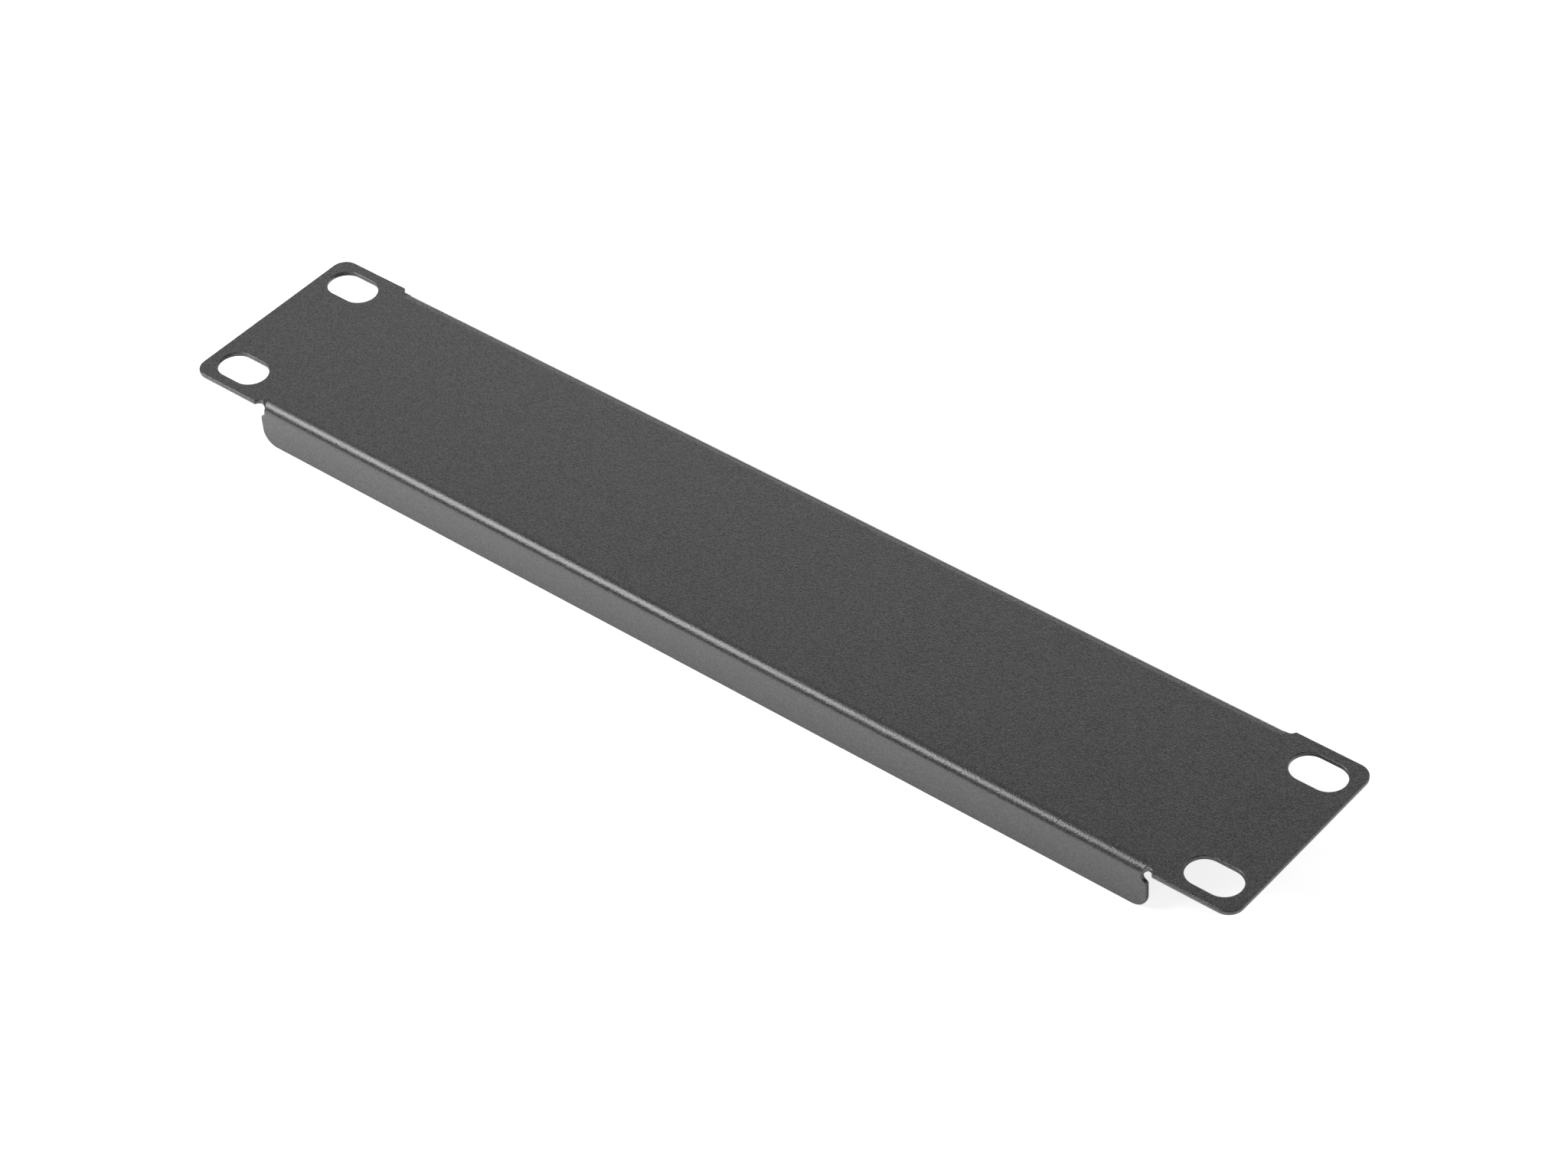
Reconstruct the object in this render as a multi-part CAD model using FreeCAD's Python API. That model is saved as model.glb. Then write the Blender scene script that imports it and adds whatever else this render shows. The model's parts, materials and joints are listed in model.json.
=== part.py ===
import FreeCAD, Part
import math
import os

from FreeCAD import Placement, Rotation, Vector

# Blanking panel for one unit of a ten-inch rack: one steel sheet, cut flat and folded.
# All sizes are in millimetres.
# X runs along the panel, Y up the rack and Z out of the panel's front.
# The origin is the middle of the four mounting slots, on the back of the ears.

# Sheet and fold
sheet_thickness = 1.0
bend_inner_radius = 0.5
neutral_factor = 0.42

# Mounting slots, two in each ear, on the spacing of a ten-inch rack
slot_spacing_x = 236.525
slot_spacing_y = 31.75
slot_length = 11.4
slot_width = 7.3

# From the centre of a slot to the panel's end, to its long edge and to the end of the flange
slot_to_end = 8.25
slot_to_long_edge = 6.125
slot_to_flange = 10.15

# Ears, and flanges folded back along both long edges between them
ear_corner_radius = 3.2
flange_depth = 10.0
flange_corner_radius = 3.5

# Round relief at each end of each bend, reaching a little past the line where the bend starts
relief_diameter = 2.6
relief_run_in = 0.1
relief_tip_radius = 0.3

# Length by which a punch runs past the sheet
overshoot = 0.5

# Edges are told apart by length to within this margin, and count as sharp from this turn, in radians
match_margin = 0.01
least_sharp_turn = 0.5

# Sizes that follow
half_length = slot_spacing_x / 2 + slot_to_end
half_height = slot_spacing_y / 2 + slot_to_long_edge
flange_end_x = slot_spacing_x / 2 - slot_to_flange
front_z = sheet_thickness
flange_edge_z = front_z - flange_depth
bend_outer_radius = bend_inner_radius + sheet_thickness
bend_start_y = half_height - bend_outer_radius
bend_axis_z = front_z - bend_outer_radius
neutral_radius = bend_inner_radius + neutral_factor * sheet_thickness
bend_flat_width = neutral_radius * math.pi / 2
relief_radius = relief_diameter / 2
relief_from_bend_start = relief_radius - relief_run_in
relief_y = bend_start_y + relief_from_bend_start
relief_z = bend_axis_z + bend_flat_width - relief_from_bend_start
punch_length = sheet_thickness + 2 * overshoot

origin = Vector(0, 0, 0)
x_axis = Vector(1, 0, 0)
y_axis = Vector(0, 1, 0)
z_axis = Vector(0, 0, 1)


def line(start, end):
    """Straight edge from start to end."""
    return Part.LineSegment(start, end).toShape()


def quarter_arc(centre, radius, start_direction, end_direction):
    """Quarter turn about centre, from one direction to the one square to it."""
    start = centre + start_direction * radius
    middle = centre + (start_direction + end_direction) * (radius * math.sqrt(0.5))
    end = centre + end_direction * radius
    return Part.Arc(start, middle, end).toShape()


def box_between(low, high):
    """Block between its lowest and its highest corner."""
    size = high - low
    return Part.makeBox(size.x, size.y, size.z, low)


def at_four_corners(shape):
    """The shape at the panel's +X +Y corner and its mirror images at the other three."""
    pair = [shape, shape.mirror(origin, y_axis)]
    return pair + [one.mirror(origin, x_axis) for one in pair]


def folded_path(depth):
    """Section of the sheet at a depth below its outer skin, as edges from one free edge to the other."""
    radius = bend_outer_radius - depth
    side_y = half_height - depth
    skin_z = front_z - depth
    lower_axis = Vector(0, -bend_start_y, bend_axis_z)
    upper_axis = Vector(0, bend_start_y, bend_axis_z)
    return [
        line(Vector(0, -side_y, flange_edge_z), Vector(0, -side_y, bend_axis_z)),
        quarter_arc(lower_axis, radius, -y_axis, z_axis),
        line(Vector(0, -bend_start_y, skin_z), Vector(0, bend_start_y, skin_z)),
        quarter_arc(upper_axis, radius, z_axis, y_axis),
        line(Vector(0, side_y, bend_axis_z), Vector(0, side_y, flange_edge_z)),
    ]


def is_free_flange_corner(edge):
    """Whether an edge runs through the sheet at a free corner of a flange."""
    box = edge.BoundBox
    return box.ZMax < flange_edge_z + match_margin and box.XLength < match_margin


def face_and_flanges():
    """The folded section carried along the flanges, with the free corners of the flanges rounded."""
    outer = folded_path(0)
    inner = folded_path(sheet_thickness)
    free_edges = [
        line(outer[0].Vertexes[0].Point, inner[0].Vertexes[0].Point),
        line(outer[-1].Vertexes[1].Point, inner[-1].Vertexes[1].Point),
    ]
    section = Part.Face(Part.Wire(Part.sortEdges(outer + inner + free_edges)[0]))
    section.translate(x_axis * -flange_end_x)
    channel = section.extrude(x_axis * (2 * flange_end_x))
    corners = [edge for edge in channel.Edges if is_free_flange_corner(edge)]
    return channel.makeFillet(flange_corner_radius, corners)


def ear():
    """Flat ear at the panel's +X end, its two outer corners rounded."""
    corner_x = half_length - ear_corner_radius
    corner_y = half_height - ear_corner_radius
    outline = [
        line(Vector(flange_end_x, -half_height, 0), Vector(corner_x, -half_height, 0)),
        quarter_arc(Vector(corner_x, -corner_y, 0), ear_corner_radius, -y_axis, x_axis),
        line(Vector(half_length, -corner_y, 0), Vector(half_length, corner_y, 0)),
        quarter_arc(Vector(corner_x, corner_y, 0), ear_corner_radius, x_axis, y_axis),
        line(Vector(corner_x, half_height, 0), Vector(flange_end_x, half_height, 0)),
        line(Vector(flange_end_x, half_height, 0), Vector(flange_end_x, -half_height, 0)),
    ]
    return Part.Face(Part.Wire(outline)).extrude(z_axis * sheet_thickness)


def slot_punch():
    """Round-ended punch for the slot in the +X +Y corner."""
    end_radius = slot_width / 2
    reach = slot_length / 2 - end_radius
    centre = Vector(slot_spacing_x / 2, slot_spacing_y / 2, -overshoot)
    right = centre + x_axis * reach
    left = centre - x_axis * reach
    outline = [
        line(left - y_axis * end_radius, right - y_axis * end_radius),
        quarter_arc(right, end_radius, -y_axis, x_axis),
        quarter_arc(right, end_radius, x_axis, y_axis),
        line(right + y_axis * end_radius, left + y_axis * end_radius),
        quarter_arc(left, end_radius, y_axis, -x_axis),
        quarter_arc(left, end_radius, -x_axis, -y_axis),
    ]
    return Part.Face(Part.Wire(outline)).extrude(z_axis * punch_length)


def flat_relief():
    """The relief as punched through the flat face and the ear."""
    start = Vector(flange_end_x, relief_y, -overshoot)
    return Part.makeCylinder(relief_radius, punch_length, start, z_axis)


def flange_relief():
    """The relief's far side, carried round to the flange by the fold."""
    start = Vector(flange_end_x, half_height - sheet_thickness - overshoot, relief_z)
    return Part.makeCylinder(relief_radius, punch_length, start, y_axis)


def bend_relief():
    """The relief wrapped round the bend, its wall square to the sheet everywhere.

    A circle in the flat sheet keeps its width along the bend. Round the bend, a distance in the flat sheet
    becomes an angle, through the radius of the layer that folding neither stretches nor squeezes.
    """
    centre_angle = relief_from_bend_start / neutral_radius
    angle_reach = relief_radius / neutral_radius
    centre = FreeCAD.Base.Vector2d(centre_angle, 0)
    round_the_bend = FreeCAD.Base.Vector2d(centre_angle + angle_reach, 0)
    along_the_bend = FreeCAD.Base.Vector2d(centre_angle, relief_radius)
    points = [round_the_bend, along_the_bend]
    if relief_radius > angle_reach:
        points.reverse()
    outline = Part.Geom2d.Ellipse2d(points[0], points[1], centre)
    skins = [Part.Cylinder(), Part.Cylinder()]
    skins[0].Radius = bend_outer_radius + overshoot
    skins[1].Radius = bend_inner_radius / 2
    rims = [outline.toShape(skin) for skin in skins]
    caps = [Part.Face(skin, Part.Wire(rim)) for skin, rim in zip(skins, rims)]
    punch = Part.Solid(Part.Shell(caps + [Part.makeRuledSurface(rims[0], rims[1])]))
    # The punch's own axes are turned so that its angle starts at the face and grows towards the flange.
    turn = Rotation(z_axis, y_axis, -x_axis, "XYZ")
    punch.Placement = Placement(Vector(flange_end_x, bend_start_y, bend_axis_z), turn)
    return punch


def folded_relief():
    """Everything that the relief takes from the folded sheet at the +X +Y corner."""
    far = 2 * half_length
    face_zone = box_between(Vector(0, 0, -far), Vector(far, bend_start_y, far))
    bend_zone = box_between(Vector(0, bend_start_y, bend_axis_z), Vector(far, far, far))
    flange_zone = box_between(Vector(0, 0, -far), Vector(far, far, bend_axis_z))
    pieces = [
        flat_relief().common(face_zone),
        bend_relief().common(bend_zone),
        flange_relief().common(flange_zone),
    ]
    return pieces[0].fuse(pieces[1:])


def sharp_panel():
    """The folded sheet with its slots and reliefs, the tips beside the reliefs still sharp."""
    channel = face_and_flanges().cut(at_four_corners(folded_relief()))
    ears = ear().fuse(ear().mirror(origin, x_axis))
    ears = ears.cut(at_four_corners(slot_punch()) + at_four_corners(flat_relief()))
    return channel.fuse(ears).removeSplitter().Solids[0]


def turn_across(edge, faces):
    """Angle between the outward directions of the faces that meet at an edge, half-way along it."""
    middle = edge.valueAt((edge.FirstParameter + edge.LastParameter) / 2)
    outward = [face.normalAt(*face.Surface.parameter(middle)) for face in faces]
    return outward[0].getAngle(outward[-1])


def relief_tips(panel):
    """Straight edges through the sheet where a relief meets the ear's long edge or the flange's end."""
    faces_at = {}
    for face in panel.Faces:
        for edge in face.Edges:
            faces_at.setdefault(edge.hashCode(), (edge, []))[1].append(face)
    through_sheet = [
        (edge, faces)
        for edge, faces in faces_at.values()
        if isinstance(edge.Curve, Part.Line) and edge.Length < sheet_thickness + match_margin
    ]
    return [edge for edge, faces in through_sheet if turn_across(edge, faces) > least_sharp_turn]


panel = sharp_panel()
panel = panel.makeFillet(relief_tip_radius, relief_tips(panel)).Solids[0]
print("solid is valid:", panel.isValid())
print("volume in cubic millimetres:", round(panel.Volume))
print("length, height and depth:", 2 * half_length, 2 * half_height, flange_depth)

os.makedirs("parts", exist_ok=True)
panel.exportStep("parts/blanking_panel.step")
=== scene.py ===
import json
import math

import bpy
import numpy as np
from mathutils import Matrix, Vector


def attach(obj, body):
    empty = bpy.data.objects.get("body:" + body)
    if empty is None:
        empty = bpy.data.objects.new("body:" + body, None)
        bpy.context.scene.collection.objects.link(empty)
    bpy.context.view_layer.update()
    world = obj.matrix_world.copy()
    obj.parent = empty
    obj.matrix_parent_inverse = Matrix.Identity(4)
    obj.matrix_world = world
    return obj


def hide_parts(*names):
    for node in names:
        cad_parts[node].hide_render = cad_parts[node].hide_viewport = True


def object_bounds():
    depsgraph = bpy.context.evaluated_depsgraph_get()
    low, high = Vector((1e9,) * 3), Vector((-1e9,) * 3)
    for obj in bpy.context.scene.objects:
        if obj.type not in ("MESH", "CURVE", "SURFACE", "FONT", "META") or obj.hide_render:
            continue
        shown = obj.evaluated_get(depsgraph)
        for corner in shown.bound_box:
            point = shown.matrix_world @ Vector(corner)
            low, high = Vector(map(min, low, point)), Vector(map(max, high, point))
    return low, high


bl_info = {
    "name": "Rack Blanking Panel",
    "version": (1, 0, 0),
    "blender": (4, 5, 0),
    "location": "3D Viewport > Sidebar > Blanking Panel",
    "description": "Folds a powder coated rack blanking panel and sets it on a pale floor under soft light",
    "category": "Object",
}

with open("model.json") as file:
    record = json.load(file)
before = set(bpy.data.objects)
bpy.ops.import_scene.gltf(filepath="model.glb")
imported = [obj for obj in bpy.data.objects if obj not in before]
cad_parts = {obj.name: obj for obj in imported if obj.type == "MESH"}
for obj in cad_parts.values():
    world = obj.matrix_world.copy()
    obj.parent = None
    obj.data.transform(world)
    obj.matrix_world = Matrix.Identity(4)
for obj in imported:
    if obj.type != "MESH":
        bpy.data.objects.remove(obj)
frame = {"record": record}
cad_low, cad_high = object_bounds()
MM = 0.001
PANEL_NODE = "blanking_panel"
rack_slots = next(mount for mount in frame["record"]["mounts"] if mount["name"] == "rack_slots")
slot_dims = rack_slots["dims"]

# The photo's size, and in its pixels the camera's focal length and the middle of the panel's front face
PHOTO_WIDTH = 2048
PHOTO_HEIGHT = 1536
FOCAL_PIXELS = 5868.638
FRONT_MIDDLE_U = 978.4
FRONT_MIDDLE_V = 728.9

# Where the camera stands round that middle, in degrees and metres, and the nearest thing that it sees
CAMERA_AZIMUTH = 42.311
CAMERA_ELEVATION = 42.266
CAMERA_ROLL = -4.282
CAMERA_DISTANCE = 0.846
CAMERA_CLIP_START = 0.01

# How far the lamps hang from the panel, in metres, unless they say otherwise
LAMP_DISTANCE = 1.2

# How many points the stretches of the sheet's outline have
LINE_POINTS = 30
SHORT_LINE_POINTS = 10
CORNER_POINTS = 17
TIP_POINTS = 9
RELIEF_POINTS_AT_EAR = 13
RELIEF_POINTS_AT_FLANGE = 29

# How many points the surfaces have, and how strongly the folded part's points crowd towards the ears
ROW_POINTS = 28
ROW_CROWDING = 6.0
FACE_JOINT_POINTS = 18
FOLD_JOINT_POINTS = 14
SEAM_POINTS = 24
RING_COUNT = 18
RIM_POINTS = 6

# Slices that the fold up to a point and the whole fold are summed over
FOLD_SLICES = 48
WHOLE_FOLD_SLICES = 400

# Change in a place's share of the fold by which the slope of the sheet is measured
SLOPE_STEP = 1e-4

# Decimals of a metre to which points agree that are made one
MERGED_DECIMALS = 8

# Values that noise mostly stays between, and where a fleck starts and ends to fade, in widths of its cell
NOISE_LOW = 0.3
NOISE_HIGH = 0.7
FLECK_CORE = 0.15
FLECK_RIM = 0.35

# Rays that find how open the floor is
SHADE_SAMPLES = 4


def length_property(name, description, default):
    """A length in metres that the sidebar shows in scene units."""
    return bpy.props.FloatProperty(
        name=name, description=description, default=default, min=0.0, unit="LENGTH", precision=5
    )


def share_property(name, description, default):
    """A share between none and all."""
    return bpy.props.FloatProperty(
        name=name, description=description, default=default, min=0.0, max=1.0, subtype="FACTOR"
    )


def power_property(name, description, default):
    """The power of a lamp in watts."""
    return bpy.props.FloatProperty(
        name=name, description=description, default=default, min=0.0, unit="POWER"
    )


def amount_property(name, description, default):
    """A plain number from nought up."""
    return bpy.props.FloatProperty(name=name, description=description, default=default, min=0.0)


def colour_property(name, description, default):
    """A colour in linear light."""
    return bpy.props.FloatVectorProperty(
        name=name, description=description, default=default, size=3, min=0.0, max=1.0, subtype="COLOR"
    )


class SheetSizes(bpy.types.PropertyGroup):
    """Sizes of the folded sheet. The outline's length, height and depth come from the frame."""

    half_length: length_property("Half length", "From the middle to the end of an ear", cad_high.x)
    half_height: length_property("Half height", "From the middle to a long edge", cad_high.y)
    front_z: length_property("Front", "Height of the front face above the back of the ears", cad_high.z)
    flange_depth: length_property(
        "Flange depth", "From the front face to the free edge of a flange", cad_high.z - cad_low.z
    )
    flange_half_length: length_property("Half flange", "From the middle to the end of a flange", 108.1 * MM)
    thickness: length_property("Thickness", "Thickness of the coated sheet", 1.0 * MM)
    slot_x: length_property(
        "Slot X", "From the middle to a slot's centre, along the panel", slot_dims["spacing_x_mm"] / 2 * MM
    )
    slot_y: length_property(
        "Slot Y", "From the middle to a slot's centre, across the panel", slot_dims["spacing_y_mm"] / 2 * MM
    )
    slot_radius: length_property("Slot radius", "Radius of a slot's round ends", slot_dims["hole_r_mm"] * MM)
    slot_length: length_property("Slot length", "Length of a slot", slot_dims["slot_length_mm"] * MM)
    ear_corner: length_property("Ear corner", "Radius of an ear's outer corners", 3.2 * MM)
    flange_corner: length_property("Flange corner", "Radius of a flange's free corners", 3.3 * MM)
    bend_width: length_property("Bend width", "Width of flat sheet that a fold takes up", 3.2 * MM)
    face_easing: share_property("Face easing", "Share of the fold over which it tightens, at the face", 0.4)
    flange_easing: share_property(
        "Flange easing", "Share of the fold over which it slackens, at the flange", 0.1
    )
    neutral_share: share_property(
        "Neutral depth", "Depth in thicknesses of the layer that folding doesn't stretch", 0.58
    )
    relief_radius: length_property("Relief radius", "Radius of the round relief at a fold's end", 1.1 * MM)
    relief_y: length_property(
        "Relief centre", "From the middle to a relief's centre, in the flat", 22.15 * MM
    )
    ear_tip: length_property("Ear tip", "Radius where an ear's long edge meets a relief", 0.35 * MM)
    flange_tip: length_property("Flange tip", "Radius where a flange's end meets a relief", 0.7 * MM)
    rim_radius: length_property("Rim radius", "Radius of the coating along the cut edges", 0.3 * MM)
    ear_blend: length_property("Ear blend", "Length over which a fold dies out before an ear", 1.2 * MM)


class CoatLook(bpy.types.PropertyGroup):
    """Colour and grain of the powder coat."""

    colour: colour_property("Colour", "Colour of the coat", (0.061, 0.061, 0.061))
    shine: share_property("Shine", "Strength of the coat's reflections", 0.8)
    roughness: share_property("Roughness", "Roughness of the coat", 0.22)
    roughness_swing: share_property("Roughness swing", "How far the roughness strays, patch by patch", 0.03)
    patch_size: length_property("Patch size", "Width of the patches that differ in roughness", 18 * MM)
    grain_size: length_property("Grain size", "Width of the coat's fine bumps", 0.3 * MM)
    grain_depth: length_property("Grain depth", "Height of the coat's fine bumps", 0.055 * MM)
    speckle_size: length_property("Speckle size", "Width of the coat's spots of shade", 0.3 * MM)
    speckle_contrast: share_property("Speckle contrast", "How far the spots stray from the colour", 0.46)
    fleck_share: share_property("Flecks", "Share of the coat's cells that hold a pale fleck", 0.012)
    fleck_size: length_property("Fleck size", "Width of the cells that may hold a fleck", 0.5 * MM)
    fleck_colour: colour_property("Fleck colour", "Colour of the flecks", (0.14, 0.14, 0.14))


class StageLook(bpy.types.PropertyGroup):
    """Floor and light."""

    floor_reach: length_property("Floor reach", "From the middle of the floor to its sides", 3.0)
    floor_colour: colour_property("Floor", "Colour of the floor", (0.8, 0.8, 0.8))
    seen_glow: share_property("Seen glow", "How much brighter than it is lit the camera sees the floor", 0.8)
    mirrored_glow: share_property("Mirrored glow", "How much brighter the coat mirrors the open floor", 0.92)
    shade_reach: length_property("Shade reach", "How near a thing dims the mirrored glow", 50 * MM)
    shade_depth: amount_property("Shade depth", "Power to which the floor's open share dims that glow", 2.0)
    overhead_power: power_property("Overhead", "Power of the lamp above", 10.9)
    left_power: power_property("Left", "Power of the lamp on the left, which the coat doesn't mirror", 6.4)
    right_power: power_property("Right", "Power of the lamp on the right", 2.6)
    back_power: power_property("Back", "Power of the long low lamp behind", 3.5)
    back_left_power: power_property("Back left", "Power of the lamp behind on the left", 0.45)
    back_right_power: power_property("Back right", "Power of the lamp behind on the right", 3.0)
    room_light: amount_property("Room", "Strength of the room's even light", 0.02)


def line_path(start, end, outward, shares):
    """Points on a line: the start plus each share of the way to the end, with one outward direction."""
    start, end = np.array(start, float), np.array(end, float)
    points = start + np.asarray(shares)[:, None] * (end - start)
    return points, np.tile(np.array(outward, float), (len(points), 1))


def arc_path(centre, radius, start, end, count, bulge):
    """Points on an arc: the centre plus the radius along each direction between two angles in degrees.

    The outward direction leads away from the centre where bulge is 1, and towards it where bulge is -1.
    """
    angle = np.radians(np.linspace(start, end, count))
    direction = np.column_stack((np.cos(angle), np.sin(angle)))
    return np.array(centre) + radius * direction, bulge * direction


def joined(pieces):
    """One path from several that meet end to end, each shared point kept once."""
    points = np.concatenate([pieces[0][0]] + [piece[0][1:] for piece in pieces[1:]])
    outward = np.concatenate([pieces[0][1]] + [piece[1][1:] for piece in pieces[1:]])
    return points, outward


def crowded(count, pull):
    """Shares from 1 down to 0 that crowd towards 1: one minus an exponential rise."""
    step = np.linspace(0.0, 1.0, count)
    return 1.0 - np.expm1(pull * step) / np.expm1(pull)


def quarter_outline(size):
    """Cut edge of a quarter of the flat sheet, from the middle of an ear's end to the middle of a flange.

    Returns the edge of the ear as far as the relief's deepest point, the edge of the flange's end from there
    round its corner, and the flange's free edge. X runs along the sheet and Y across it, in the flat. A tip
    is an arc that touches the relief's circle: their centres stand the sum of the two radii apart.
    """
    length, height = size.half_length, size.half_height
    ear_r, relief_r, flange_r = size.ear_corner, size.relief_radius, size.flange_corner
    end_x, relief_y, free_y = size.flange_half_length, size.relief_y, flat_reach(size)
    relief = (end_x, relief_y)
    tip_r, end_r = size.ear_tip, size.flange_tip
    ear_tip_y = height - tip_r
    ear_tip_dx = math.sqrt((relief_r + tip_r) ** 2 - (ear_tip_y - relief_y) ** 2)
    ear_touch = math.degrees(math.atan2(relief_y - ear_tip_y, -ear_tip_dx))
    flange_tip_dy = math.sqrt((relief_r + end_r) ** 2 - end_r**2)
    flange_touch = math.degrees(math.atan2(-flange_tip_dy, end_r))
    even = np.linspace(0.0, 1.0, LINE_POINTS)
    sparse = np.linspace(0.0, 1.0, SHORT_LINE_POINTS)
    ear_edge = joined(
        [
            line_path((length, 0), (length, height - ear_r), (1, 0), even),
            arc_path((length - ear_r, height - ear_r), ear_r, 0, 90, CORNER_POINTS, 1),
            line_path((length - ear_r, height), (end_x + ear_tip_dx, height), (0, 1), even),
            arc_path((end_x + ear_tip_dx, ear_tip_y), tip_r, 90, ear_touch, TIP_POINTS, 1),
            arc_path(relief, relief_r, ear_touch - 180, -90, RELIEF_POINTS_AT_EAR, -1),
        ]
    )
    flange_end = joined(
        [
            arc_path(relief, relief_r, -90, flange_touch - 180, RELIEF_POINTS_AT_FLANGE, -1),
            arc_path((end_x - end_r, relief_y + flange_tip_dy), end_r, flange_touch, 0, TIP_POINTS, 1),
            line_path((end_x, relief_y + flange_tip_dy), (end_x, free_y - flange_r), (1, 0), sparse),
            arc_path((end_x - flange_r, free_y - flange_r), flange_r, 0, 90, CORNER_POINTS, 1),
        ]
    )
    free_edge = line_path((0, free_y), (end_x - flange_r, free_y), (0, 1), crowded(ROW_POINTS, ROW_CROWDING))
    return ear_edge, flange_end, free_edge


def bend_angle(size, step):
    """Angle of the fold at a share of its width, from none at the face to a quarter turn at the flange.

    The fold tightens evenly, holds its tightness and slackens evenly, so the angle follows a square, a
    straight line and a square.
    """
    step = np.clip(step, 0.0, 1.0)
    first, last = size.face_easing, size.flange_easing
    full = 1.0 / (1.0 - (first + last) / 2)
    rising = full * step**2 / (2 * first)
    falling = 1.0 - full * (1.0 - step) ** 2 / (2 * last)
    middle = full * (step - first / 2)
    share = np.where(step < first, rising, np.where(step > 1.0 - last, falling, middle))
    return math.pi / 2 * share


def slice_middles(count):
    """Middles of equal slices of the way from 0 to 1."""
    return (np.arange(count) + 0.5) / count


def bend_reach(size):
    """How far a whole fold reaches across and down: the sums of the cosines and sines of its angles."""
    angles = bend_angle(size, slice_middles(WHOLE_FOLD_SLICES))
    return size.bend_width * np.cos(angles).mean(), size.bend_width * np.sin(angles).mean()


def bend_start(size):
    """Where a fold starts in the flat sheet, so that the flange's outside is flush with the ear's edge."""
    return size.half_height - size.neutral_share * size.thickness - bend_reach(size)[0]


def flat_reach(size):
    """From the middle of the flat sheet to its free edge, which folds down to the flange's depth."""
    drop = size.neutral_share * size.thickness + bend_reach(size)[1]
    return bend_start(size) + size.bend_width + size.flange_depth - drop


def fold_share(size, flat):
    """How much of the fold a place takes part in, and how fast that changes along X.

    It is all of it along the flanges and none of it in the ears. Where face and ear join, beside the relief,
    it falls off along X as 1 less 3 t squared plus 2 t cubed.
    """
    x, y = flat[:, 0], flat[:, 1]
    step = np.clip((x - size.flange_half_length) / size.ear_blend + 1.0, 0.0, 1.0)
    share = 1.0 - step**2 * (3.0 - 2.0 * step)
    slope = -6.0 * step * (1.0 - step) / size.ear_blend
    on_flange = (y > size.relief_y) & (x <= size.flange_half_length)
    return np.where(on_flange, 1.0, share), np.where(on_flange, 0.0, slope)


def neutral_layer(size, y, share):
    """Reach, height and slope angle of the unstretched layer at a distance across the flat sheet.

    The angle is the fold's own, times the share. Reach and drop are the sums of its cosines and sines from
    the start of the fold, by the midpoint rule, and a straight run follows the fold.
    """
    start = bend_start(size)
    run = np.clip(y - start, 0.0, size.bend_width)
    middles = slice_middles(FOLD_SLICES)
    angles = share[:, None] * bend_angle(size, run[:, None] * middles / size.bend_width)
    after = np.maximum(y - start - size.bend_width, 0.0)
    final = share * bend_angle(size, run / size.bend_width)
    reach = np.minimum(y, start) + run * np.cos(angles).mean(1) + after * np.cos(final)
    drop = run * np.sin(angles).mean(1) + after * np.sin(final)
    neutral_z = size.front_z - size.neutral_share * size.thickness
    return np.column_stack((reach, neutral_z - drop)), final


def folded(size, flat, depth, flat_normal):
    """Places and outward directions of points of the flat sheet once it is folded.

    Across the sheet a point follows the unstretched layer, and it stands off that layer along the layer's
    own normal, by how much nearer to the outer skin it is. The normal is the cross product of the layer's
    two slopes.
    """
    share, slope = fold_share(size, flat)
    layer, angle = neutral_layer(size, flat[:, 1], share)
    more, _ = neutral_layer(size, flat[:, 1], share + SLOPE_STEP)
    less, _ = neutral_layer(size, flat[:, 1], share - SLOPE_STEP)
    change = (more - less) / (2 * SLOPE_STEP)
    zero = np.zeros(len(flat))
    along = np.column_stack((zero + 1.0, change * slope[:, None]))
    along /= np.linalg.norm(along, axis=1)[:, None]
    across = np.column_stack((zero, np.cos(angle), -np.sin(angle)))
    outward = np.cross(along, across)
    outward /= np.linalg.norm(outward, axis=1)[:, None]
    stand_off = size.neutral_share * size.thickness - depth
    places = np.column_stack((flat[:, 0], layer)) + stand_off[:, None] * outward
    normals = along * flat_normal[:, :1] + across * flat_normal[:, 1:2] + outward * flat_normal[:, 2:]
    return places, normals


def rim_profile(size):
    """Section of a cut edge: how far each point stands in from the edge, its depth, and its direction.

    A quarter circle leads from the outer skin to the edge and another from the edge to the inner skin.
    """
    turn = np.linspace(0.0, math.pi / 2, RIM_POINTS)
    inset = size.rim_radius * (1.0 - np.sin(turn))
    sunk = size.rim_radius * (1.0 - np.cos(turn))
    insets = np.concatenate((inset, inset[::-1]))
    depths = np.concatenate((sunk, (size.thickness - sunk)[::-1]))
    sideways = np.concatenate((np.sin(turn), np.sin(turn)[::-1]))
    upward = np.concatenate((np.cos(turn), -np.cos(turn)[::-1]))
    return insets, depths, sideways, upward


def grid_faces(rows, columns, around=False):
    """Four corners of each cell of a grid of points, row by row, and round from the last column if asked."""
    row_start = np.arange(rows - 1)[:, None] * columns
    next_start = row_start + columns
    column = np.arange(columns if around else columns - 1)[None, :]
    following = (column + 1) % columns
    corners = (row_start + column, row_start + following, next_start + following, next_start + column)
    return np.stack(corners, -1).reshape(-1, 4)


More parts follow.
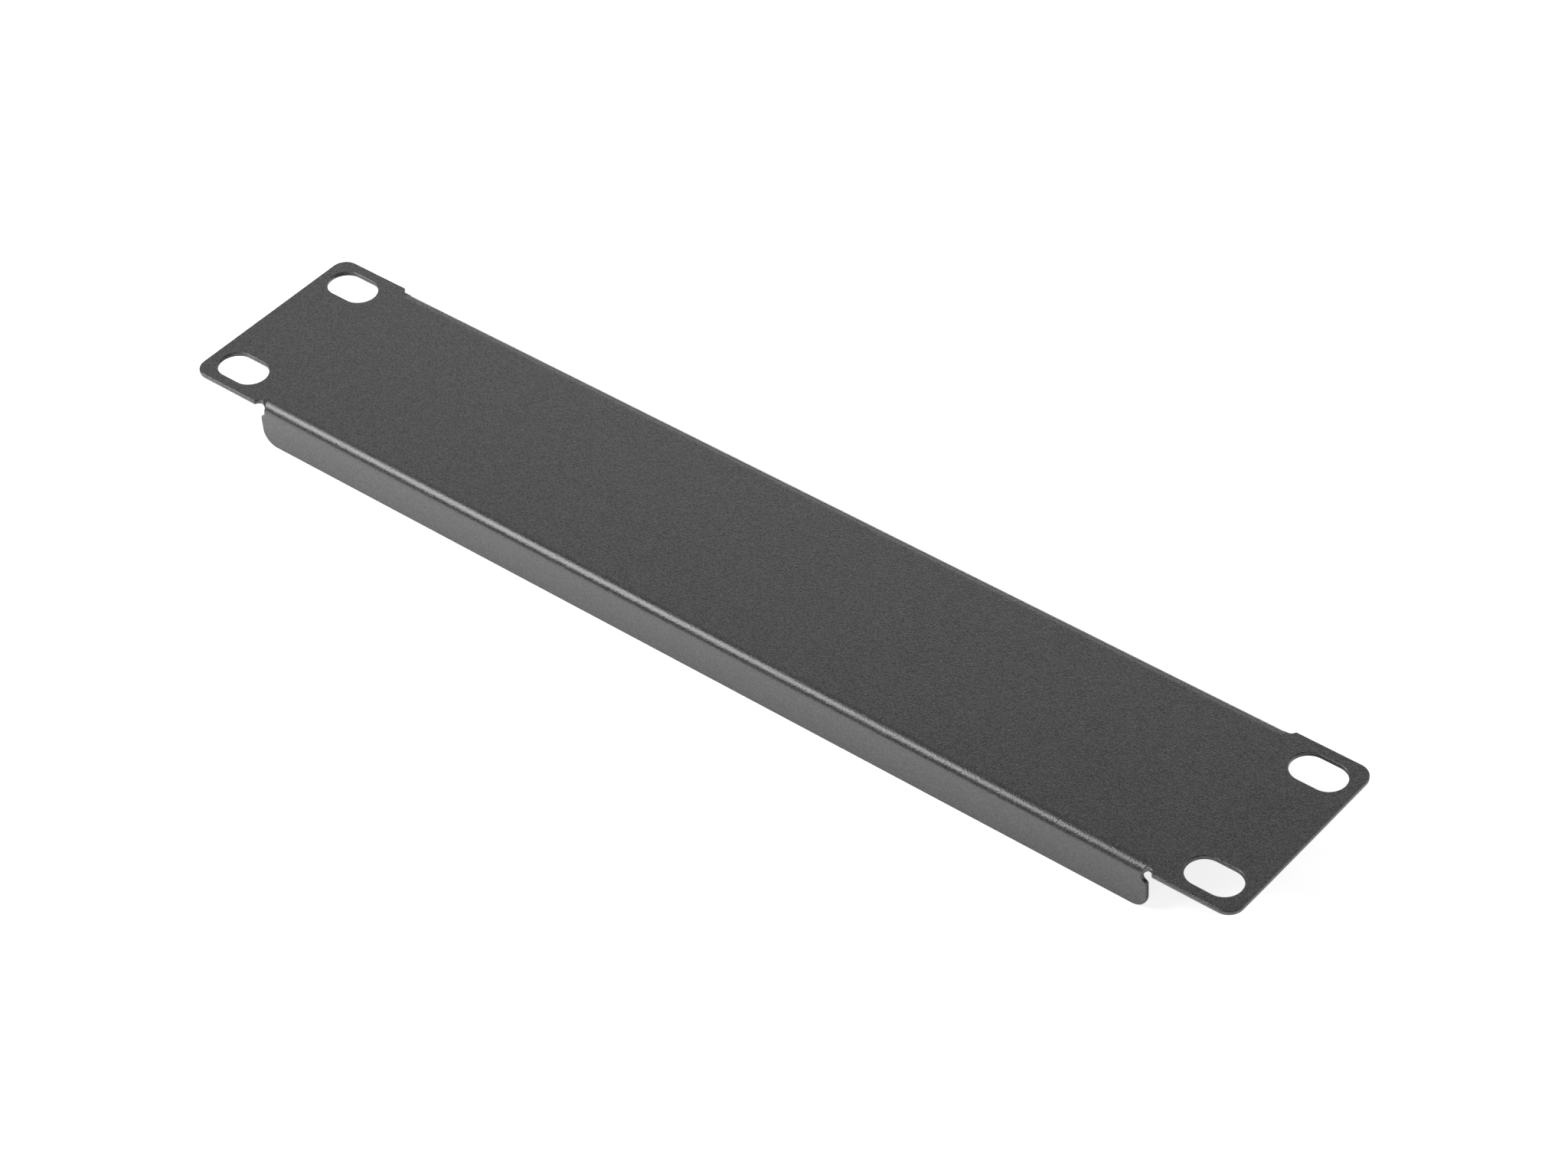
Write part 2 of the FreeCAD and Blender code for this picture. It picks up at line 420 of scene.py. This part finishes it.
class FlatPatches:
    """Gathers grids of points of the flat sheet, with their depths, directions and faces."""

    def __init__(self):
        self.flat = []
        self.depth = []
        self.normal = []
        self.faces = []
        self.count = 0

    def add(self, flat, depth, normal, around=False):
        """A grid of points, by rows and columns, at a depth below the outer skin."""
        rows, columns = flat.shape[:2]
        self.faces.append(grid_faces(rows, columns, around) + self.count)
        self.flat.append(flat.reshape(-1, 2))
        self.depth.append(np.broadcast_to(depth, (rows, columns)).reshape(-1))
        self.normal.append(np.broadcast_to(normal, (rows, columns, 3)).reshape(-1, 3))
        self.count += rows * columns

    def add_skins(self, flat, thickness, around=False):
        """The same grid on the outer and on the inner skin."""
        self.add(flat, 0.0, np.array((0.0, 0.0, 1.0)), around)
        self.add(flat, thickness, np.array((0.0, 0.0, -1.0)), around)

    def add_rim(self, edge, outward, profile, around=False):
        """The rim's section carried along a cut edge, each point set in against the outward direction."""
        insets, depths, sideways, upward = profile
        flat = edge[None] - insets[:, None, None] * outward[None]
        shape = (len(insets), len(edge), 1)
        side = sideways[:, None, None] * outward[None]
        up = np.broadcast_to(upward[:, None, None], shape)
        self.add(flat, depths[:, None], np.concatenate((side, up), -1), around)


def quarter_sheet(size):
    """Patches of a quarter of the flat sheet: skins of the folded part and of the ear, rims, and slot."""
    ear_edge, flange_end, free_edge = quarter_outline(size)
    profile = rim_profile(size)
    inset = size.rim_radius
    patches = FlatPatches()

    # The line where ear and folded part meet runs from the middle to the relief, closer spaced in the fold.
    relief_floor = size.relief_y - size.relief_radius - inset
    start = bend_start(size)
    face_y = np.linspace(0.0, start, FACE_JOINT_POINTS)
    joint_y = np.concatenate((face_y[:-1], np.linspace(start, relief_floor, FOLD_JOINT_POINTS)))
    joint = np.column_stack((np.full(len(joint_y), size.flange_half_length), joint_y))

    # Folded part: each row runs from its end to the middle, its points at crowded shares of the way.
    end = np.concatenate((joint[:-1], flange_end[0] - inset * flange_end[1]))
    shares = crowded(ROW_POINTS, ROW_CROWDING)
    rows = np.stack((end[:, :1] * shares, np.repeat(end[:, 1:], len(shares), 1)), -1)
    patches.add_skins(rows, size.thickness)

    # Ear: rings from the slot's rim to a loop round the ear, each point straight out from the slot. They
    # crowd towards the loop: a ring's share of the way is one less the square of what is left.
    seam_x = np.linspace(size.flange_half_length, size.half_length - inset, SEAM_POINTS)
    seam = np.column_stack((seam_x, np.zeros(SEAM_POINTS)))
    loop = np.concatenate((seam[:-1], ear_edge[0] - inset * ear_edge[1], joint[-2:0:-1]))
    reach = size.slot_length / 2 - size.slot_radius
    nearest = np.column_stack(
        (np.clip(loop[:, 0], size.slot_x - reach, size.slot_x + reach), np.full(len(loop), size.slot_y))
    )
    away = loop - nearest
    away /= np.linalg.norm(away, axis=1)[:, None]
    slot_edge = nearest + size.slot_radius * away
    ring = 1.0 - (1.0 - np.linspace(0.0, 1.0, RING_COUNT)[:, None, None]) ** 2
    slot_rim = slot_edge + inset * away
    patches.add_skins(slot_rim + ring * (loop - slot_rim), size.thickness, around=True)

    patches.add_rim(slot_edge, -away, profile, around=True)
    patches.add_rim(*ear_edge, profile)
    patches.add_rim(*joined([flange_end, free_edge]), profile)
    return patches


def panel_surface(size):
    """Points, directions and faces of the whole panel: the folded quarter and its three mirror images.

    Points that coincide are made one, and each face is turned to agree with its points' directions.
    """
    patches = quarter_sheet(size)
    places, normals = folded(
        size, np.concatenate(patches.flat), np.concatenate(patches.depth), np.concatenate(patches.normal)
    )
    faces = np.concatenate(patches.faces)
    signs = np.array([(1, 1, 1), (-1, 1, 1), (1, -1, 1), (-1, -1, 1)], float)
    all_places = (places[None] * signs[:, None]).reshape(-1, 3)
    all_normals = (normals[None] * signs[:, None]).reshape(-1, 3)
    all_faces = (faces[None] + (np.arange(4) * len(places))[:, None, None]).reshape(-1, 4)
    rounded = np.round(all_places, MERGED_DECIMALS) + 0.0
    _, first, merged = np.unique(rounded, axis=0, return_index=True, return_inverse=True)
    points, directions, quads = all_places[first], all_normals[first], merged.reshape(-1)[all_faces]
    diagonals = points[quads[:, 2]] - points[quads[:, 0]], points[quads[:, 3]] - points[quads[:, 1]]
    turned_in = (np.cross(*diagonals) * directions[quads].sum(1)).sum(1) < 0
    quads[turned_in] = quads[turned_in][:, ::-1]
    return points, directions, quads


def make_piece(name, points, quads, directions, material):
    """A smooth mesh object at the origin, shaded by the given outward directions."""
    mesh = bpy.data.meshes.new(name)
    mesh.from_pydata(points, [], quads)
    mesh.validate()
    mesh.shade_smooth()
    mesh.normals_split_custom_set_from_vertices(directions)
    mesh.materials.append(material)
    piece = bpy.data.objects.new(name, mesh)
    bpy.context.scene.collection.objects.link(piece)
    return piece


def new_material(name):
    """An empty node material with its output."""
    material = bpy.data.materials.new(name)
    material.use_nodes = True
    nodes = material.node_tree.nodes
    nodes.clear()
    return material, nodes, material.node_tree.links, nodes.new("ShaderNodeOutputMaterial")


def linked_or_set(links, value, socket):
    """Give a socket its value: a number, a colour or another node's output."""
    if isinstance(value, bpy.types.NodeSocket):
        links.new(value, socket)
    else:
        socket.default_value = value


def math_node(nodes, links, operation, *values):
    """The result of a calculation with two or three values."""
    node = nodes.new("ShaderNodeMath")
    node.operation = operation
    for value, socket in zip(values, node.inputs):
        linked_or_set(links, value, socket)
    return node.outputs["Value"]


def colour_mix_node(nodes, links, share, first, second):
    """A colour that goes from the first to the second with the share."""
    node = nodes.new("ShaderNodeMix")
    node.data_type = "RGBA"
    links.new(share, node.inputs["Factor"])
    linked_or_set(links, first, node.inputs["A"])
    linked_or_set(links, second, node.inputs["B"])
    return node.outputs["Result"]


def noise_node(nodes, links, coordinates, width, detail, roughness=0.5):
    """Noise whose bumps are about the given width in metres."""
    node = nodes.new("ShaderNodeTexNoise")
    node.inputs["Scale"].default_value = 1.0 / width
    node.inputs["Detail"].default_value = detail
    node.inputs["Roughness"].default_value = roughness
    links.new(coordinates, node.inputs["Vector"])
    return node.outputs["Fac"]


def range_node(nodes, links, value, low, high, to_low, to_high):
    """A value carried from one range to another."""
    node = nodes.new("ShaderNodeMapRange")
    node.inputs["From Min"].default_value = low
    node.inputs["From Max"].default_value = high
    node.inputs["To Min"].default_value = to_low
    node.inputs["To Max"].default_value = to_high
    links.new(value, node.inputs["Value"])
    return node.outputs["Result"]


def fleck_mask(nodes, links, place, look):
    """One in the middle of a few of the coat's cells, fading to nought towards their sides."""
    cells = nodes.new("ShaderNodeTexVoronoi")
    cells.inputs["Scale"].default_value = 1.0 / look.fleck_size
    links.new(place, cells.inputs["Vector"])
    split = nodes.new("ShaderNodeSeparateColor")
    links.new(cells.outputs["Color"], split.inputs["Color"])
    chosen = math_node(nodes, links, "LESS_THAN", split.outputs["Red"], look.fleck_share)
    spot = range_node(nodes, links, cells.outputs["Distance"], FLECK_CORE, FLECK_RIM, 1.0, 0.0)
    return math_node(nodes, links, "MULTIPLY", chosen, spot)


def powder_coat_material(look):
    """Dark grey powder coat: fine bumps, a fine speckle of shades, sparse pale flecks, uneven roughness."""
    material, nodes, links, output = new_material("dark_powder_coat")
    shader = nodes.new("ShaderNodeBsdfPrincipled")
    shader.inputs["Specular IOR Level"].default_value = look.shine
    links.new(shader.outputs["BSDF"], output.inputs["Surface"])
    place = nodes.new("ShaderNodeTexCoord").outputs["Object"]

    speckle = noise_node(nodes, links, place, look.speckle_size, detail=1.0)
    shade = range_node(nodes, links, speckle, NOISE_LOW, NOISE_HIGH, 0.0, 1.0)
    low, high = 1.0 - look.speckle_contrast, 1.0 + look.speckle_contrast
    dark = (*[channel * low for channel in look.colour], 1.0)
    pale = (*[channel * high for channel in look.colour], 1.0)
    speckled = colour_mix_node(nodes, links, shade, dark, pale)
    flecks = fleck_mask(nodes, links, place, look)
    flecked = colour_mix_node(nodes, links, flecks, speckled, (*look.fleck_colour, 1.0))
    links.new(flecked, shader.inputs["Base Color"])

    patches = noise_node(nodes, links, place, look.patch_size, detail=2.0)
    smoothest, roughest = look.roughness - look.roughness_swing, look.roughness + look.roughness_swing
    rough = range_node(nodes, links, patches, NOISE_LOW, NOISE_HIGH, smoothest, roughest)
    links.new(rough, shader.inputs["Roughness"])

    grain = noise_node(nodes, links, place, look.grain_size, detail=2.0, roughness=0.6)
    bump = nodes.new("ShaderNodeBump")
    bump.inputs["Strength"].default_value = 1.0
    bump.inputs["Distance"].default_value = look.grain_depth
    links.new(grain, bump.inputs["Height"])
    links.new(bump.outputs["Normal"], shader.inputs["Normal"])
    return material


def floor_material(look):
    """Matt pale floor that keeps shadows, and that the camera sees close to white.

    The coat mirrors it brighter than it is lit too: a painted glow that only reflections see. Close to the
    panel that glow is darkened by painted shade, a power of the share of directions that are open, as the
    panel hides part of the room there.
    """
    material, nodes, links, output = new_material("floor")
    matt = nodes.new("ShaderNodeBsdfDiffuse")
    matt.inputs["Color"].default_value = (*look.floor_colour, 1.0)
    glow = nodes.new("ShaderNodeEmission")
    glow.inputs["Color"].default_value = (1.0, 1.0, 1.0, 1.0)
    path = nodes.new("ShaderNodeLightPath")
    # Painted shade: near the panel the glow that reflections see is dimmed by the floor's open share
    open_share = nodes.new("ShaderNodeAmbientOcclusion")
    open_share.samples = SHADE_SAMPLES
    open_share.inputs["Distance"].default_value = look.shade_reach
    dimming = math_node(nodes, links, "POWER", open_share.outputs["AO"], look.shade_depth)
    dimmed = math_node(nodes, links, "MULTIPLY", path.outputs["Is Glossy Ray"], dimming)
    mirrored = math_node(nodes, links, "MULTIPLY", dimmed, look.mirrored_glow)
    seen = path.outputs["Is Camera Ray"]
    strength = math_node(nodes, links, "MULTIPLY_ADD", seen, look.seen_glow, mirrored)
    links.new(strength, glow.inputs["Strength"])
    total = nodes.new("ShaderNodeAddShader")
    links.new(matt.outputs["BSDF"], total.inputs[0])
    links.new(glow.outputs["Emission"], total.inputs[1])
    links.new(total.outputs["Shader"], output.inputs["Surface"])
    return material


def room_world(look):
    """Even grey light from the room, which the camera sees as white."""
    world = bpy.data.worlds.new("room")
    world.use_nodes = True
    nodes, links = world.node_tree.nodes, world.node_tree.links
    background = nodes["Background"]
    background.inputs["Color"].default_value = (1.0, 1.0, 1.0, 1.0)
    seen = nodes.new("ShaderNodeLightPath").outputs["Is Camera Ray"]
    links.new(range_node(nodes, links, seen, 0.0, 1.0, look.room_light, 1.0), background.inputs["Strength"])
    bpy.context.scene.world = world


def soft_lamp(name, power, direction, width, height, distance=LAMP_DISTANCE, mirrored=True):
    """A rectangular lamp that hangs in a direction from the panel and faces it. The coat may mirror it."""
    light = bpy.data.lights.new(name, "AREA")
    light.shape = "RECTANGLE"
    light.size, light.size_y = width, height
    light.energy = power
    lamp = bpy.data.objects.new(name, light)
    towards = Vector(direction).normalized()
    lamp.location = towards * distance
    lamp.rotation_mode = "QUATERNION"
    lamp.rotation_quaternion = towards.to_track_quat("Z", "Y")
    lamp.visible_glossy = mirrored
    bpy.context.scene.collection.objects.link(lamp)


def photo_camera(size):
    """The camera, from its place round the middle of the front face and that point's pixel in the photo."""
    azimuth = math.radians(CAMERA_AZIMUTH)
    elevation = math.radians(CAMERA_ELEVATION)
    roll = math.radians(CAMERA_ROLL)
    back = Vector(
        (
            math.sin(azimuth) * math.cos(elevation),
            -math.cos(azimuth) * math.cos(elevation),
            math.sin(elevation),
        )
    )
    level = (-back).cross(Vector((0, 0, 1))).normalized()
    upright = level.cross(-back)
    right = math.cos(roll) * level + math.sin(roll) * upright
    up = math.cos(roll) * upright - math.sin(roll) * level
    aside = (FRONT_MIDDLE_U - PHOTO_WIDTH / 2) / FOCAL_PIXELS * CAMERA_DISTANCE
    below = (FRONT_MIDDLE_V - PHOTO_HEIGHT / 2) / FOCAL_PIXELS * CAMERA_DISTANCE
    data = bpy.data.cameras.new("photo_camera")
    data.lens = FOCAL_PIXELS / PHOTO_WIDTH * data.sensor_width
    data.clip_start = CAMERA_CLIP_START
    camera = bpy.data.objects.new("photo_camera", data)
    turn = Matrix((right, up, back)).transposed()
    camera.matrix_world = turn.to_4x4()
    middle = Vector((0, 0, size.front_z))
    camera.location = middle + back * CAMERA_DISTANCE - right * aside + up * below
    bpy.context.scene.collection.objects.link(camera)
    bpy.context.scene.camera = camera


class BLANKING_OT_panel(bpy.types.Operator):
    """Fold the panel from its flat sheet and coat it"""

    bl_idname = "blanking.panel"
    bl_label = "Fold the Panel"

    def execute(self, context):
        points, directions, quads = panel_surface(context.scene.blanking_sizes)
        material = powder_coat_material(context.scene.blanking_coat)
        piece = make_piece("folded_panel", points, quads, directions, material)
        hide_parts(PANEL_NODE)
        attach(piece, "root")
        return {"FINISHED"}


class BLANKING_OT_stage(bpy.types.Operator):
    """Lay the floor, hang the lamps and place the camera"""

    bl_idname = "blanking.stage"
    bl_label = "Set the Stage"

    def execute(self, context):
        look = context.scene.blanking_stage
        reach = look.floor_reach
        corners = np.array([(-reach, -reach), (reach, -reach), (reach, reach), (-reach, reach)])
        points = np.column_stack((corners, np.full(4, cad_low.z)))
        upward = np.tile((0.0, 0.0, 1.0), (4, 1))
        floor = make_piece("floor", points, np.array([[0, 1, 2, 3]]), upward, floor_material(look))
        room_world(look)
        soft_lamp(
            "overhead_lamp",
            look.overhead_power,
            direction=(-0.58, -0.36, 0.72),
            width=0.75,
            height=0.75,
        )
        soft_lamp(
            "left_lamp",
            look.left_power,
            direction=(-0.85, -0.18, 0.5),
            width=0.7,
            height=0.7,
            mirrored=False,
        )
        soft_lamp(
            "right_lamp",
            look.right_power,
            direction=(0.55, -0.75, 0.35),
            width=1.2,
            height=0.7,
        )
        soft_lamp(
            "back_lamp",
            look.back_power,
            direction=(0.0, 1.0, 0.62),
            width=2.4,
            height=0.36,
            distance=1.25,
        )
        soft_lamp(
            "back_left_lamp",
            look.back_left_power,
            direction=(-0.75, 0.66, 0.62),
            width=0.9,
            height=0.4,
        )
        soft_lamp(
            "back_right_lamp",
            look.back_right_power,
            direction=(0.66, 0.55, 0.45),
            width=1.2,
            height=0.9,
        )
        photo_camera(context.scene.blanking_sizes)
        context.scene.view_settings.view_transform = "Standard"
        return {"FINISHED"}


class BLANKING_PT_sidebar(bpy.types.Panel):
    """Sizes and looks, and the buttons that make each piece"""

    bl_idname = "BLANKING_PT_sidebar"
    bl_label = "Blanking Panel"
    bl_space_type = "VIEW_3D"
    bl_region_type = "UI"
    bl_category = "Blanking Panel"

    def draw(self, context):
        for group, operator in (
            (context.scene.blanking_sizes, None),
            (context.scene.blanking_coat, "blanking.panel"),
            (context.scene.blanking_stage, "blanking.stage"),
        ):
            for name in group.__annotations__:
                self.layout.prop(group, name)
            if operator:
                self.layout.operator(operator)


CLASSES = (SheetSizes, CoatLook, StageLook, BLANKING_OT_panel, BLANKING_OT_stage, BLANKING_PT_sidebar)


def register():
    """Make the classes known to Blender, and give the scene their values."""
    for one in CLASSES:
        bpy.utils.register_class(one)
    bpy.types.Scene.blanking_sizes = bpy.props.PointerProperty(type=SheetSizes)
    bpy.types.Scene.blanking_coat = bpy.props.PointerProperty(type=CoatLook)
    bpy.types.Scene.blanking_stage = bpy.props.PointerProperty(type=StageLook)


def unregister():
    """Take the values and the classes away again."""
    del bpy.types.Scene.blanking_stage
    del bpy.types.Scene.blanking_coat
    del bpy.types.Scene.blanking_sizes
    for one in reversed(CLASSES):
        bpy.utils.unregister_class(one)


def main():
    """Make the panel and the stage."""
    register()
    bpy.ops.blanking.panel()
    bpy.ops.blanking.stage()


if __name__ == "__main__":
    main()
